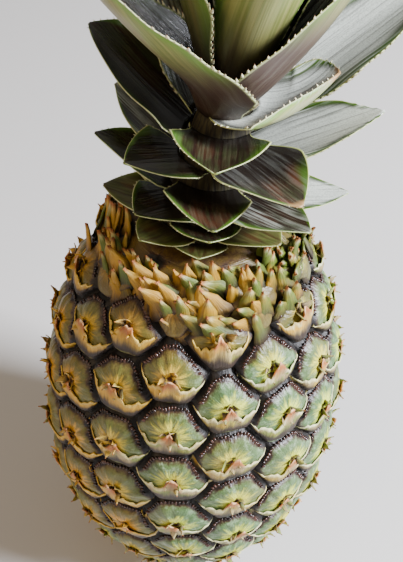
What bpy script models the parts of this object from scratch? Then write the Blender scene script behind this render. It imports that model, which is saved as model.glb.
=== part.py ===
"""Pineapple: the fruit as one grown piece, the crown's stem, and every crown leaf as its own piece.

Metres, +Z up, the flat resting spot on z = 0, the side that is looked at facing -Y.
"""
import math
import random

import bmesh
import bpy

MM = 0.001

# Fruit
FRUIT_RADIUS = 55.0 * MM            # mean surface at the widest ring
WIDEST_HEIGHT = 84.0 * MM
LOWER_REACH = 91.4 * MM             # from the widest ring to where the lower curve would close
UPPER_REACH = 100.1 * MM            # the same, upward
LOWER_FULLNESS = 2.12               # exponent of the lower curve, 2 is an ellipse
UPPER_FULLNESS = 2.20
NECK_HEIGHT = 172.4 * MM
CROWN_SEAT_HEIGHT = 176.0 * MM
CROWN_SEAT_RADIUS = 17.0 * MM
REST_RADIUS = 20.5 * MM
FRUIT_STEPS = 48

# Eyes: rings of eight, each ring turned half a pitch from the next
EYES_PER_RING = 8
FIRST_RING_HEIGHT = 145.8 * MM
RING_SPACING = 12.42 * MM           # along the axis, at the widest ring
RING_TIGHTENING_BELOW = 0.20
RING_TIGHTENING_ABOVE = 0.31
RINGS_ABOVE = 2
RINGS_BELOW = 12
RING_TWIST = math.radians(1.2)      # slow drift of the columns from ring to ring
COLUMN_START = math.radians(-9.3)
EYE_DOME = 1.9 * MM
GROOVE_DEPTH = 1.9 * MM
GROOVE_WIDTH = 2.6 * MM
EYE_WANDER = 1.3 * MM
SAMPLES_PER_RING = 3

# Crown
JOINT_GAP = 0.3 * MM
STEM_SECTIONS = ((176.3, 16.2), (183.0, 14.6), (197.0, 11.8), (212.0, 9.6), (226.0, 7.6), (240.0, 4.6), (252.0, 1.6))
STEM_STEPS = 20
CROWN_LEAN = 0.15                   # the crown leans toward +X by this slope
LEAN_START = 15.0 * MM
LEAF_COUNT = 44
LEAF_TURN = math.radians(-135.0)    # eight upright ranks of leaves, three turns to each eight
LEAF_THICKNESS = 1.1 * MM
LEAF_LENGTH_CELLS = 8
NECK_LEAVES = 8
NECK_LEAF_LENGTH_CELLS = 5
LEAF_WIDTH_CELLS = 4

# What a leaf is like at a few places up the stem, and evenly in between:
# order, base height mm, length mm, width mm, rise at the base, rise at the tip, trough depth over half width
LEAF_STAGES = (
    (0, 177.6, 9.5, 18.0, 14.0, 24.0, 0.10),
    (8, 184.0, 22.0, 24.0, 6.0, 14.0, 0.14),
    (16, 197.0, 31.0, 28.0, 12.0, 18.0, 0.20),
    (22, 211.0, 44.0, 31.0, 28.0, 36.0, 0.26),
    (26, 220.0, 66.0, 33.0, 42.0, 44.0, 0.28),
    (30, 229.0, 100.0, 34.0, 64.0, 56.0, 0.30),
    (34, 237.0, 92.0, 27.0, 76.0, 70.0, 0.30),
    (38, 244.0, 72.0, 17.0, 82.0, 78.0, 0.26),
    (43, 251.0, 44.0, 8.0, 87.0, 86.0, 0.20),
)

# Leaves that depart from the rule. Degrees: turn from the even place, change of rise, change of the
# tip's rise, how much more upright the foot is. Scales: longer, wider. Sideways swing of the tip over its
# length, change of the clasp about the stem, bluntness of the tip, share of the length that widens
PLAIN_CHARACTER = {"turn": 0.0, "rise": 0.0, "bend": 0.0, "upright": 0.0, "longer": 1.0, "wider": 1.0,
                   "swing": 0.0, "clasp": 0.0, "bluntness": 2.3, "sheath": 0.4}
LEAF_CHARACTER = {
    8: {"turn": 4.0, "rise": 16.0, "longer": 0.72, "wider": 0.95},
    10: {"turn": -4.0, "rise": -5.0, "longer": 1.30, "wider": 0.95},
    11: {"turn": -3.0, "rise": 8.0, "longer": 0.72, "wider": 1.10},
    13: {"turn": 4.0, "rise": -4.0, "longer": 1.05, "wider": 0.95},
    14: {"turn": 2.0, "rise": 18.0, "longer": 1.02, "wider": 0.95},
    16: {"turn": -7.0, "rise": 2.0, "longer": 0.92, "wider": 1.05, "swing": 0.12},
    17: {"turn": 16.0, "rise": 8.0, "longer": 0.95, "wider": 0.95},
    18: {"turn": 6.0, "rise": 7.0, "longer": 1.18, "bluntness": 3.0},
    19: {"turn": -15.0, "rise": -4.0, "longer": 0.62, "wider": 1.10},
    21: {"turn": -6.0, "rise": -24.0, "longer": 0.74, "wider": 1.08},
    22: {"turn": -16.0, "rise": 4.0, "longer": 1.05, "wider": 1.10, "bluntness": 5.0},
    23: {"turn": -7.0, "rise": -5.0, "longer": 1.60, "wider": 1.08, "clasp": -0.35, "bluntness": 2.6},
    24: {"turn": -8.0, "rise": -20.0, "longer": 0.52, "wider": 1.02, "swing": 0.05},
    25: {"turn": -12.0, "longer": 0.82, "clasp": -0.12},
    26: {"turn": -22.0, "rise": -50.0, "bend": 68.0, "longer": 0.33, "wider": 1.05, "swing": 0.80, "clasp": 0.70,
         "bluntness": 6.0, "sheath": 0.15},
    27: {"turn": -14.2, "rise": -6.5, "bend": 10.0, "upright": 25.0, "longer": 1.03, "wider": 1.32, "clasp": 0.42,
         "sheath": 0.16},
    28: {"rise": 2.2, "upright": 2.0, "clasp": -0.62},
    29: {"turn": 39.0, "rise": -7.0, "bend": 32.0, "upright": 8.0, "longer": 0.66, "wider": 1.30, "swing": 0.16,
         "clasp": 0.36, "bluntness": 2.0, "sheath": 0.14},
    30: {"rise": 4.0},
    31: {"rise": 6.0},
    32: {"turn": 5.0, "rise": 5.0, "wider": 1.02},
    33: {"rise": 4.0},
    35: {"rise": 2.0, "clasp": -0.08},
}


def smooth(value):
    """Ease a 0..1 value at both ends."""
    value = min(max(value, 0.0), 1.0)
    return value * value * (3.0 - 2.0 * value)


def between(rows, at, column):
    """Read a column of a table of rows at a place between its first-column keys."""
    for low, high in zip(rows, rows[1:]):
        if at <= high[0]:
            share = (at - low[0]) / (high[0] - low[0])
            return low[column] + (high[column] - low[column]) * share
    return rows[-1][column]


def fruit_radius(height):
    """Mean radius of the fruit at a height."""
    if height < WIDEST_HEIGHT:
        share = (WIDEST_HEIGHT - height) / LOWER_REACH
        return FRUIT_RADIUS * math.sqrt(max(0.0, 1.0 - share ** LOWER_FULLNESS))
    share = (height - WIDEST_HEIGHT) / UPPER_REACH
    return FRUIT_RADIUS * math.sqrt(max(0.0, 1.0 - share ** UPPER_FULLNESS))


def ring_spacing(height):
    """Axial distance between rings of eyes at a height."""
    below = max(0.0, (WIDEST_HEIGHT - height) / LOWER_REACH)
    above = max(0.0, (height - WIDEST_HEIGHT) / UPPER_REACH)
    return RING_SPACING * (1.0 - RING_TIGHTENING_BELOW * below ** 2 - RING_TIGHTENING_ABOVE * above ** 2)


def ring_heights(samples):
    """Heights down the fruit, a number of samples to each ring of eyes, with the ring place of each."""
    first = -RINGS_ABOVE * samples
    places = []
    height = FIRST_RING_HEIGHT
    for step in range(0, RINGS_BELOW * samples + 1):
        places.append((step / samples, height))
        height -= ring_spacing(height) / samples
    height = FIRST_RING_HEIGHT
    for step in range(-1, first - 1, -1):
        height += ring_spacing(height) / samples
        places.insert(0, (step / samples, height))
    return places


def eye_centres():
    """Every eye as (turn, height), with a small grown irregularity."""
    centres = []
    chance = random.Random(7)
    for place, height in ring_heights(1):
        ring = int(place)
        radius = fruit_radius(height)
        for column in range(EYES_PER_RING):
            turn = COLUMN_START + (column + 0.5 * (ring % 2)) * 2.0 * math.pi / EYES_PER_RING + ring * RING_TWIST
            turn += chance.uniform(-1.0, 1.0) * EYE_WANDER / max(radius, EYE_DOME)
            centres.append((turn, height + chance.uniform(-1.0, 1.0) * EYE_WANDER))
    return centres


def surface_point(turn, height, radius):
    """A point at a turn from -Y toward +X."""
    return (radius * math.sin(turn), -radius * math.cos(turn), height)


def build_turned(name, profile, steps):
    """A profile of (radius, height) from the top down, turned about the upright axis."""
    mesh = bpy.data.meshes.new(name)
    bm = bmesh.new()
    verts = [bm.verts.new((radius, 0.0, height)) for radius, height in profile]
    for upper, lower in zip(verts, verts[1:]):
        bm.edges.new((upper, lower))
    bm.to_mesh(mesh)
    bm.free()
    obj = bpy.data.objects.new(name, mesh)
    turning = obj.modifiers.new("Turned", "SCREW")
    turning.steps = steps
    turning.render_steps = steps
    turning.use_merge_vertices = True
    turning.merge_threshold = 0.00002
    turning.use_smooth_shade = True
    return obj


def settle(obj, collection):
    """Replace an object's modifiers by the mesh they make."""
    collection.objects.link(obj)
    graph = bpy.context.evaluated_depsgraph_get()
    mesh = bpy.data.meshes.new_from_object(obj.evaluated_get(graph))
    obj.modifiers.clear()
    obj.data = mesh
    mesh.name = obj.name
    return mesh


def eye_relief(point, height, centres):
    """How far the skin stands out at a point: domes inside the eyes, grooves between them."""
    near = []
    for centre in centres:
        distance = math.dist(point, centre)
        if distance < 45.0 * MM:
            near.append(distance)
    near.sort()
    if len(near) < 2:
        return 0.0
    to_edge = 0.5 * (near[1] - near[0])
    size = 0.5 * (near[0] + near[1])
    dome = EYE_DOME * (1.0 - (near[0] / max(size, MM)) ** 2) * smooth(size / (12.0 * MM))
    groove = GROOVE_DEPTH * math.exp(-(to_edge / GROOVE_WIDTH) ** 2)
    quiet = smooth((height - 2.0 * MM) / (9.0 * MM)) * smooth((NECK_HEIGHT + 1.0 * MM - height) / (9.0 * MM))
    return (dome - groove) * quiet


def build_fruit(collection):
    """The fruit: a turned barrel whose skin is raised into eyes; the underside keeps a flat spot."""
    profile = [(0.0, CROWN_SEAT_HEIGHT), (CROWN_SEAT_RADIUS, CROWN_SEAT_HEIGHT)]
    profile.append((CROWN_SEAT_RADIUS + 6.0 * MM, CROWN_SEAT_HEIGHT - 1.1 * MM))
    for _, height in ring_heights(SAMPLES_PER_RING):
        if height > 2.5 * MM:
            profile.append((fruit_radius(height), height))
    profile.append((REST_RADIUS, 0.0))
    profile.append((0.0, 0.0))
    fruit = build_turned("fruit_body", profile, FRUIT_STEPS)
    mesh = settle(fruit, collection)
    centres = [surface_point(turn, height, fruit_radius(height)) for turn, height in eye_centres()]
    for vert in mesh.vertices:
        radius = math.hypot(vert.co.x, vert.co.y)
        if radius < MM:
            continue
        relief = eye_relief(tuple(vert.co), vert.co.z, centres)
        vert.co.x += vert.co.x / radius * relief
        vert.co.y += vert.co.y / radius * relief
    return fruit


def stem_radius(height):
    """Radius of the crown's stem at a height in millimetres."""
    return between(STEM_SECTIONS, height, 1)


def lean(x, height):
    """Shift a point sideways with its height above the crown's seat."""
    above = max(0.0, height - CROWN_SEAT_HEIGHT - JOINT_GAP)
    return x + CROWN_LEAN * (math.hypot(above, LEAN_START) - LEAN_START)


def build_stem(collection):
    """The short tapering stem that carries the leaves."""
    top_height, top_radius = STEM_SECTIONS[-1]
    profile = [(0.0, (top_height + 1.0) * MM), (0.6 * top_radius * MM, (top_height + 0.7) * MM)]
    profile += [(radius * MM, height * MM) for height, radius in reversed(STEM_SECTIONS)]
    profile.append((0.0, STEM_SECTIONS[0][0] * MM))
    stem = build_turned("crown_stem", profile, STEM_STEPS)
    mesh = settle(stem, collection)
    for vert in mesh.vertices:
        vert.co.x = lean(vert.co.x, vert.co.z)
    return stem


class Leaf:
    """One crown leaf: where it leaves the stem, how it rises, and how wide and deep it is."""

    def __init__(self, order):
        own = {**PLAIN_CHARACTER, **LEAF_CHARACTER.get(order, {})}
        chance = random.Random(100 + order)
        self.order = order
        self.turn = order * LEAF_TURN + math.radians(own["turn"] + chance.uniform(-3.0, 3.0))
        self.base_height = between(LEAF_STAGES, order, 1) * MM
        self.length = between(LEAF_STAGES, order, 2) * MM * own["longer"]
        self.half_width = between(LEAF_STAGES, order, 3) * MM * own["wider"] / 2.0
        self.base_rise = math.radians(between(LEAF_STAGES, order, 4) + own["rise"])
        tip_rise = between(LEAF_STAGES, order, 5) + own["rise"] + own["bend"]
        self.tip_rise = math.radians(tip_rise + chance.uniform(-4.0, 4.0))
        self.upright = math.radians(own["upright"])
        self.trough = between(LEAF_STAGES, order, 6)
        self.swing = own["swing"] + chance.uniform(-0.05, 0.05)
        self.thickness = LEAF_THICKNESS * (1.0 - 0.35 * smooth((order - 32) / 8))
        self.clasp = own["clasp"] + 0.80 + 0.28 * smooth((order - 18) / 8) - 0.18 * smooth((order - 33) / 6)
        self.bluntness = own["bluntness"]
        self.sheath = own["sheath"]
        self.base_radius = stem_radius(self.base_height / MM) * MM + JOINT_GAP + 0.7 * self.thickness
        self.midrib = self.trace()

    def rise_at(self, along):
        """How steeply the midrib rises at a place along it."""
        return (self.base_rise + (self.tip_rise - self.base_rise) * along
                + self.upright * (1.0 - smooth(along / 0.3)))

    def trace(self):
        """Radius and height along the midrib, in small even steps."""
        steps = 40
        radius, height = self.base_radius, self.base_height
        points = [(radius, height)]
        for step in range(steps):
            rise = self.rise_at((step + 0.5) / steps)
            radius += math.cos(rise) * self.length / steps
            height += math.sin(rise) * self.length / steps
            points.append((radius, height))
        return points

    def point(self, along, across):
        """A point of the middle surface: along 0 at the stem to 1 at the tip, across -1 to 1."""
        place = min(along, 0.9999) * (len(self.midrib) - 1)
        low = int(place)
        share = place - low
        radius = self.midrib[low][0] * (1.0 - share) + self.midrib[low + 1][0] * share
        height = self.midrib[low][1] * (1.0 - share) + self.midrib[low + 1][1] * share
        rise = self.rise_at(along)
        base_half = min(self.base_radius * self.clasp, self.half_width)
        half = base_half + (self.half_width - base_half) * smooth(along / self.sheath)
        half = min(half, self.clasp * radius) * (1.0 - along ** self.bluntness) + 0.5 * MM
        offset = across * half
        wrap = max(1.0 - smooth(along / 0.45), math.sin(max(rise, 0.0))) / radius
        if wrap > 1.0:
            bent_in = (1.0 - math.cos(offset * wrap)) / wrap
            sideways = math.sin(offset * wrap) / wrap
        else:
            bent_in, sideways = 0.0, offset
        trough = self.trough * half * abs(across) ** 1.6 * smooth(along / 0.4)
        radial = radius - bent_in - trough * math.sin(rise)
        height += trough * math.cos(rise)
        sideways += self.swing * self.length * along ** 2
        x = radial * math.sin(self.turn) + sideways * math.cos(self.turn)
        y = -radial * math.cos(self.turn) + sideways * math.sin(self.turn)
        return (lean(x, height), y, height)


def build_leaf(order, collection):
    """A leaf: a trough-shaped open surface given its thickness."""
    leaf = Leaf(order)
    name = f"crown_leaf_{order + 1:02d}"
    mesh = bpy.data.meshes.new(name)
    bm = bmesh.new()
    cells = NECK_LEAF_LENGTH_CELLS if order < NECK_LEAVES else LEAF_LENGTH_CELLS
    bmesh.ops.create_grid(bm, x_segments=LEAF_WIDTH_CELLS, y_segments=cells, size=1.0)
    for vert in bm.verts:
        along = 0.5 * (vert.co.y + 1.0)
        vert.co = leaf.point(along, vert.co.x)
    bm.to_mesh(mesh)
    bm.free()
    obj = bpy.data.objects.new(name, mesh)
    collection.objects.link(obj)
    thickness = obj.modifiers.new("Thickness", "SOLIDIFY")
    thickness.thickness = leaf.thickness
    thickness.offset = 0.0
    thickness.use_even_offset = True
    return obj


def give_material(obj, name, color, roughness):
    """A plain surface of one colour."""
    material = bpy.data.materials.get(name)
    if material is None:
        material = bpy.data.materials.new(name)
        material.use_nodes = True
        shader = material.node_tree.nodes["Principled BSDF"]
        shader.inputs["Base Color"].default_value = (*color, 1.0)
        shader.inputs["Roughness"].default_value = roughness
    obj.data.materials.clear()
    obj.data.materials.append(material)


def main():
    for obj in list(bpy.data.objects):
        bpy.data.objects.remove(obj)
    collection = bpy.data.collections.new("pineapple")
    bpy.context.scene.collection.children.link(collection)
    give_material(build_fruit(collection), "rind", (0.42, 0.33, 0.09), 0.55)
    give_material(build_stem(collection), "stem", (0.45, 0.42, 0.22), 0.7)
    for order in range(LEAF_COUNT):
        material = "neck_leaf" if order < NECK_LEAVES else "leaf"
        color = (0.30, 0.30, 0.12) if order < NECK_LEAVES else (0.16, 0.22, 0.13)
        give_material(build_leaf(order, collection), material, color, 0.45)


main()
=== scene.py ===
"""Whole pineapple: rind of raised eyes with papery bracts, leafy crown with spined margins.

Metres, +Z up, the resting spot on z = 0, the best side of the crown facing -Y.
"""

import logging
import math
import random
from dataclasses import astuple, dataclass, field
from enum import Enum
from typing import Any, Dict, List, Optional, Sequence, Tuple

import bmesh
import bpy
import numpy as np
from mathutils import Euler, Matrix, Vector


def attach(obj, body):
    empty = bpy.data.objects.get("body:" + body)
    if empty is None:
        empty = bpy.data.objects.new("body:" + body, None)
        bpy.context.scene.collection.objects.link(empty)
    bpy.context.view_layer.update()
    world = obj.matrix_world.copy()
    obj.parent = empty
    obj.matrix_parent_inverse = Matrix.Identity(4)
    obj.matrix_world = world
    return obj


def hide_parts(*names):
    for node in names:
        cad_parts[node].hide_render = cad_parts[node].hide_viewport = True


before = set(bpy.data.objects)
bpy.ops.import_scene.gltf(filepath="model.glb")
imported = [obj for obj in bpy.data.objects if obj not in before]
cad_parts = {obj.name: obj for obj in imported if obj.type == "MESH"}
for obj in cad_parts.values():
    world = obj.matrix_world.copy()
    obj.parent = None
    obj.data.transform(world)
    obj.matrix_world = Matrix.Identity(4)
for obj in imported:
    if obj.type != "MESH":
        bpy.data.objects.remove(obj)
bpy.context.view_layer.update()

LOG = logging.getLogger("pineapple")
MM = 0.001
TAU = 2.0 * math.pi
Colour = Tuple[float, float, float, float]


# ---------------------------------------------------------------------------------------------
# Small tools
# ---------------------------------------------------------------------------------------------
def srgb(code: str) -> Colour:
    """Turn an sRGB hex value into a linear colour.

    Args:
        code: six hex digits with a leading #.

    Returns:
        Red, green, blue and a full alpha, linear.
    """
    parts = [int(code[i:i + 2], 16) / 255.0 for i in (1, 3, 5)]
    linear = [p / 12.92 if p <= 0.04045 else ((p + 0.055) / 1.055) ** 2.4 for p in parts]
    return (linear[0], linear[1], linear[2], 1.0)


def smooth(value: float) -> float:
    """Ease a 0..1 value at both ends."""
    value = min(max(value, 0.0), 1.0)
    return value * value * (3.0 - 2.0 * value)


def ease(values: np.ndarray, low: float, high: float) -> np.ndarray:
    """Ease an array from 0 at low to 1 at high."""
    share = np.clip((values - low) / (high - low), 0.0, 1.0)
    return share * share * (3.0 - 2.0 * share)


def between(rows: Sequence[Sequence[float]], at: float, column: int) -> float:
    """Read a column of a table of rows at a place between its first-column keys.

    Args:
        rows: the table, in rising order of its first column.
        at: where to read.
        column: which column.

    Returns:
        The value, a straight blend of the two rows round the place.
    """
    for low, high in zip(rows, rows[1:]):
        if at <= high[0]:
            share = max(0.0, (at - low[0]) / (high[0] - low[0]))
            return low[column] + (high[column] - low[column]) * share
    return rows[-1][column]


def add_node(tree: bpy.types.NodeTree, kind: str, links: Optional[Dict[Any, Any]] = None,
             **settings: Any) -> Any:
    """Add a node, set its properties, and set or link its inputs.

    Args:
        tree: the node tree.
        kind: Blender's name of the node type.
        links: input name or index to a socket to link from, or a value to set.
        settings: properties of the node.

    Returns:
        The new node.
    """
    node = tree.nodes.new(kind)
    for name, value in settings.items():
        setattr(node, name, value)
    for key, value in (links or {}).items():
        if isinstance(value, bpy.types.NodeSocket):
            tree.links.new(value, node.inputs[key])
        else:
            node.inputs[key].default_value = value
    return node


def put(mesh: bpy.types.Mesh, name: str, values: np.ndarray) -> None:
    """Store a number or a vector on every vertex.

    Args:
        mesh: the mesh that carries them.
        name: the name they are read by.
        values: one number, or one row of three, for each vertex.
    """
    values = np.asarray(values, dtype=np.float32)
    kind = "FLOAT" if values.ndim == 1 else "FLOAT_VECTOR"
    layer = mesh.attributes.new(name, kind, "POINT")
    layer.data.foreach_set("value" if values.ndim == 1 else "vector", values.ravel())


def grid_mesh(name: str, points: np.ndarray, closed: bool = False) -> bpy.types.Mesh:
    """Skin a grid of points with quads.

    Args:
        name: name of the mesh.
        points: rows x columns x 3.
        closed: joins the last column to the first.

    Returns:
        The mesh, smooth shaded.
    """
    rows, columns = points.shape[:2]
    mesh = bpy.data.meshes.new(name)
    index = np.arange(rows * columns).reshape(rows, columns)
    if closed:
        index = np.concatenate([index, index[:, :1]], axis=1)
    low, high = index[:-1], index[1:]
    quads = np.stack([low[:, :-1], low[:, 1:], high[:, 1:], high[:, :-1]], axis=-1).reshape(-1, 4)
    mesh.from_pydata(points.reshape(-1, 3).tolist(), [], quads.tolist())
    mesh.shade_smooth()
    return mesh


def seed_mesh(name: str, spots: Sequence[Any], edges: Sequence[Tuple[int, int]] = (),
              **layers: Any) -> bpy.types.Mesh:
    """Make bare points or loose lines that carry named values.

    Args:
        name: name of the mesh.
        spots: the points.
        edges: pairs of points to join.
        layers: a row of values for each point, by name.

    Returns:
        The mesh, without faces.
    """
    mesh = bpy.data.meshes.new(name)
    mesh.from_pydata([tuple(spot) for spot in spots], list(edges), [])
    for label, values in layers.items():
        put(mesh, label, np.array(values))
    return mesh


def frame_turn(across: Vector, up: Vector) -> Tuple[float, float, float]:
    """Euler angles of a piece whose width and length follow two given directions."""
    return tuple(Matrix((across, up, across.cross(up))).transposed().to_euler())


def stand(name: str, data: Any) -> bpy.types.Object:
    """Put a mesh, a lamp or a camera in the scene as an object at the origin.

    Args:
        name: name of the object.
        data: its mesh, lamp or camera.

    Returns:
        The object.
    """
    obj = bpy.data.objects.new(name, data)
    bpy.context.scene.collection.objects.link(obj)
    return obj


def bake_modifiers(obj: bpy.types.Object) -> bpy.types.Object:
    """Turn an object's modifiers into plain mesh and remove them.

    Args:
        obj: the object.

    Returns:
        The same object, with plain mesh.
    """
    graph = bpy.context.evaluated_depsgraph_get()
    mesh = bpy.data.meshes.new_from_object(obj.evaluated_get(graph))
    obj.modifiers.clear()
    old = obj.data
    obj.data = mesh
    mesh.name = obj.name
    bpy.data.meshes.remove(old)
    return obj


def deliver(obj: bpy.types.Object, slot: str, *nodes: str) -> None:
    """Hand a finished piece to the frame.

    Args:
        obj: the piece.
        slot: the record's material slot; not used.
        nodes: the CAD nodes it stands for.
    """
    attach(obj, "root")
    if nodes:
        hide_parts(*nodes)
    LOG.info("%s: %d faces, stands for %s", obj.name, len(obj.data.polygons), ", ".join(nodes) or "itself")


# ---------------------------------------------------------------------------------------------
# Finishes
# ---------------------------------------------------------------------------------------------
def new_material(name: str) -> Tuple[bpy.types.Material, bpy.types.NodeTree, Any]:
    """Start a node material.

    Args:
        name: what the real material is.

    Returns:
        The material, its node tree and its shader node.
    """
    material = bpy.data.materials.new(name)
    material.use_nodes = True
    tree = material.node_tree
    return material, tree, tree.nodes["Principled BSDF"]


class Shade(Enum):
    """Nodes that the finishes share: Blender's name, its inputs in order, its output and its settings."""

    MIX = ("ShaderNodeMix", (0, 6, 7), 2, {"data_type": "RGBA"})
    TINT = ("ShaderNodeMix", (0, 6, 7), 2, {"data_type": "RGBA", "blend_type": "MULTIPLY"})
    EASE = ("ShaderNodeMapRange", (0, 1, 2, 3, 4), 0, {"interpolation_type": "SMOOTHSTEP"})
    SPREAD = ("ShaderNodeMapRange", (0, 1, 2, 3, 4), 0, {})
    TIMES = ("ShaderNodeMath", (0, 1), 0, {"operation": "MULTIPLY"})
    TIMES_PLUS = ("ShaderNodeMath", (0, 1, 2), 0, {"operation": "MULTIPLY_ADD"})
    LESS = ("ShaderNodeMath", (0, 1), 0, {"operation": "SUBTRACT"})
    OVER = ("ShaderNodeMath", (0, 1), 0, {"operation": "DIVIDE"})
    POWER = ("ShaderNodeMath", (0, 1), 0, {"operation": "POWER"})
    LARGER = ("ShaderNodeMath", (0, 1), 0, {"operation": "MAXIMUM"})
    UNSIGNED = ("ShaderNodeMath", (0,), 0, {"operation": "ABSOLUTE"})
    NOISE = ("ShaderNodeTexNoise", ("Vector", "Scale", "Detail", "Roughness"), 0, {})
    JOIN = ("ShaderNodeCombineXYZ", (0, 1, 2), 0, {})
    HERE = ("ShaderNodeTexCoord", (), "Object", {})

    def on(self, tree: bpy.types.NodeTree, *inputs: Any) -> Any:
        """Add this node to a tree.

        Args:
            tree: the node tree.
            inputs: sockets to link from or values to set, in the recipe's order.

        Returns:
            The node's output socket.
        """
        kind, keys, output, settings = self.value
        return add_node(tree, kind, dict(zip(keys, inputs)), **settings).outputs[output]


def read(tree: bpy.types.NodeTree, name: str) -> Tuple[Any, Any, Any]:
    """Read a vector attribute of the mesh as three numbers.

    Args:
        tree: the node tree.
        name: the attribute's name.

    Returns:
        Three output sockets.
    """
    vector = add_node(tree, "ShaderNodeAttribute", attribute_name=name).outputs["Vector"]
    parts = add_node(tree, "ShaderNodeSeparateXYZ", {0: vector}).outputs
    return parts[0], parts[1], parts[2]


@dataclass(frozen=True)
class RindFinish:
    """Living rind of a ripening pineapple: waxy sepals round a withered flower, russet creases between;
    painted shade turns their deepest part near-black.
    """

    wax_green: str = "#4c6a3e"
    wax_olive: str = "#6f6122"
    heart_green: str = "#ccd84e"
    heart_ochre: str = "#cf9a2e"
    leaf_green: str = "#2f4f1e"
    pale_bloom: str = "#9db391"
    russet: str = "#3a2012"
    # Painted shade in the deepest part of the creases
    crease: str = "#0a0402"
    shoulder: str = "#5a4214"
    pit: str = "#4d2812"
    mottle_mm: float = 2.4
    grain_mm: float = 0.6

    def build(self) -> bpy.types.Material:
        """Make the rind's material from each eye's own place and tone.

        Returns:
            The material.
        """
        # Living wax over russet: satin light on the raised sepals, and painted shade that makes the creases
        # round every eye near-black
        material, tree, shader = new_material("grown_pineapple_rind")
        across, up, edge = read(tree, "eye_place")
        chance, ripe, shoulder = read(tree, "eye_tone")
        flat = Shade.JOIN.on(tree, across, up, 0.0)
        radius = add_node(tree, "ShaderNodeVectorMath", {0: flat}, operation="LENGTH").outputs["Value"]
        aim = add_node(tree, "ShaderNodeVectorMath", {0: flat}, operation="NORMALIZE").outputs[0]
        spread = add_node(tree, "ShaderNodeVectorMath", {0: aim, "Scale": 2.4}, operation="SCALE").outputs[0]
        shift = Shade.JOIN.on(tree, 0.0, 0.0, Shade.TIMES_PLUS.on(tree, chance, 37.0, radius))
        fan = add_node(tree, "ShaderNodeVectorMath", {0: spread, 1: shift}, operation="ADD").outputs[0]
        # Creases of the sepals fan out from the withered flower
        streak = Shade.NOISE.on(tree, fan, 2.2, 3.0, 0.6)
        here = Shade.HERE.on(tree)
        mottle = Shade.NOISE.on(tree, here, 1.0 / (self.mottle_mm * MM), 3.0, 0.6)
        grain = Shade.NOISE.on(tree, here, 1.0 / (self.grain_mm * MM), 2.0, 0.5)

        wax = Shade.MIX.on(tree, ripe, srgb(self.wax_green), srgb(self.wax_olive))
        unripe = Shade.EASE.on(tree, ripe, 0.7, 0.1, 0.0, 0.55)
        bloom = Shade.TIMES.on(tree, Shade.EASE.on(tree, mottle, 0.45, 0.75), unripe)
        wax = Shade.MIX.on(tree, bloom, wax, srgb(self.pale_bloom))
        inner = Shade.EASE.on(tree, radius, 0.95, 0.35)
        ring = Shade.TIMES.on(tree, Shade.EASE.on(tree, streak, 0.42, 0.62), inner)
        wax = Shade.MIX.on(tree, Shade.TIMES.on(tree, ring, 0.75), wax, srgb(self.leaf_green))
        heart = Shade.MIX.on(tree, ripe, srgb(self.heart_green), srgb(self.heart_ochre))
        reach = Shade.TIMES_PLUS.on(tree, streak, -0.9, radius)
        colour = Shade.MIX.on(tree, Shade.EASE.on(tree, reach, 0.10, -0.26), wax, heart)
        colour = Shade.MIX.on(tree, Shade.EASE.on(tree, radius, 0.13, 0.05), colour, srgb(self.pit))
        colour = Shade.MIX.on(tree, Shade.TIMES.on(tree, shoulder, 0.75), colour, srgb(self.shoulder))
        # Painted shade: the crease goes russet, then near-black, in a broad brow above the flower and a thin
        # line under it
        painted_brow_shade = Shade.EASE.on(tree, up, -0.25, 0.45, 0.0, 1.9)
        crease_russet_and_shade = Shade.LESS.on(tree, Shade.TIMES_PLUS.on(tree, mottle, 2.4, edge), painted_brow_shade)
        colour = Shade.MIX.on(tree, Shade.EASE.on(tree, crease_russet_and_shade, 3.3, 2.0), colour, srgb(self.russet))
        colour = Shade.MIX.on(tree, Shade.EASE.on(tree, crease_russet_and_shade, 2.5, 1.7), colour, srgb(self.crease))
        colour = Shade.TINT.on(tree, 1.0, colour, Shade.SPREAD.on(tree, grain, 0.3, 0.7, 0.82, 1.12))
        tree.links.new(colour, shader.inputs["Base Color"])
        tree.links.new(Shade.EASE.on(tree, edge, 0.8, 3.0, 0.60, 0.40), shader.inputs["Roughness"])
        height = Shade.TIMES_PLUS.on(tree, streak, 1.6, Shade.TIMES.on(tree, grain, 0.35))
        bump = add_node(tree, "ShaderNodeBump", {"Strength": 0.7, "Distance": 0.5 * MM, "Height": height})
        tree.links.new(bump.outputs[0], shader.inputs["Normal"])
        return material


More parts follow.
